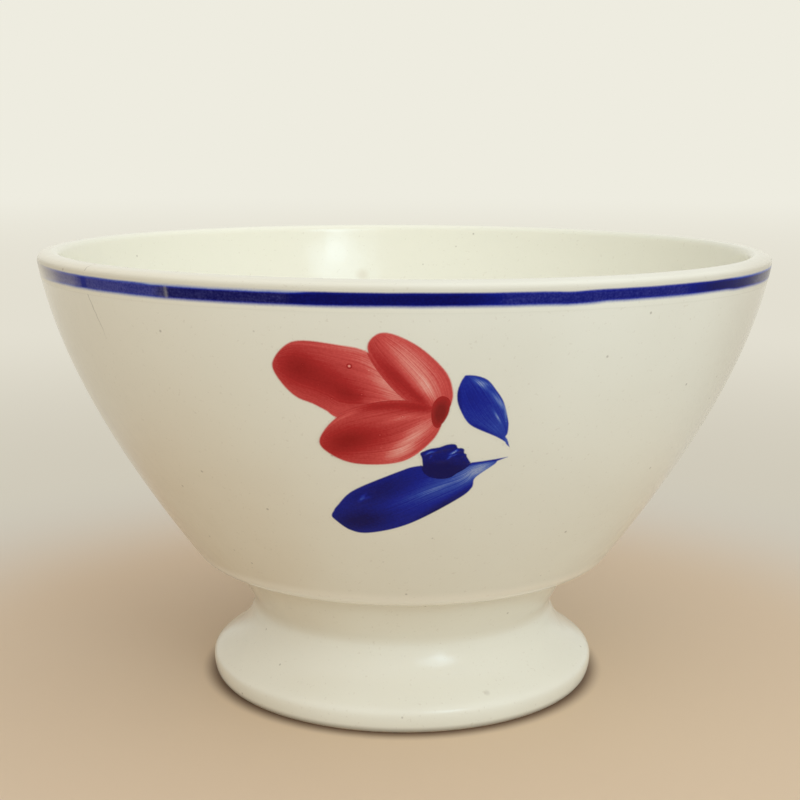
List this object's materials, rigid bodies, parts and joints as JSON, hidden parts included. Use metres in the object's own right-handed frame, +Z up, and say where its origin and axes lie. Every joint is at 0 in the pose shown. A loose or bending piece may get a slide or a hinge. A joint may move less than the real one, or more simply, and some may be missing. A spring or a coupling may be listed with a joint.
{
  "type": "latte bowl",
  "caption": "Footed earthenware latte bowl with a flared hollow foot, a blue rim line and a brush-painted red flower with blue leaves; holds hot milky coffee, cereal or soup.",
  "frame": {"origin": "centre of the resting ring, on the table", "axes": "+Z up along the axis the bowl was turned on; the painted flower faces -Y"},
  "size_m": [0.1504, 0.1504, 0.0911],
  "materials": {
    "cream_glaze": "clear gloss glaze over cream earthenware, with fine specks",
    "foot_glaze": "the same gloss glaze, wiped off the resting ring",
    "slip_clay": "fired slip under glaze",
    "rim_blue": "cobalt line laid with a brush, fired glossy",
    "petal_red": "translucent red brush stroke, fired glossy",
    "heart_red": "dark red dab where the strokes meet, fired glossy",
    "leaf_blue": "cobalt blue brush stroke, fired glossy"
  },
  "bodies": {
    "root": {"bowl_body": "cream_glaze", "pedestal_foot": "foot_glaze", "luting_slip": "slip_clay", "rim_line": "rim_blue", "petal_left": "petal_red", "petal_top": "petal_red", "petal_lower": "petal_red", "flower_heart": "heart_red", "leaf_small": "leaf_blue", "leaf_long": "leaf_blue", "calyx_dab": "leaf_blue"}
  },
  "joints": []
}
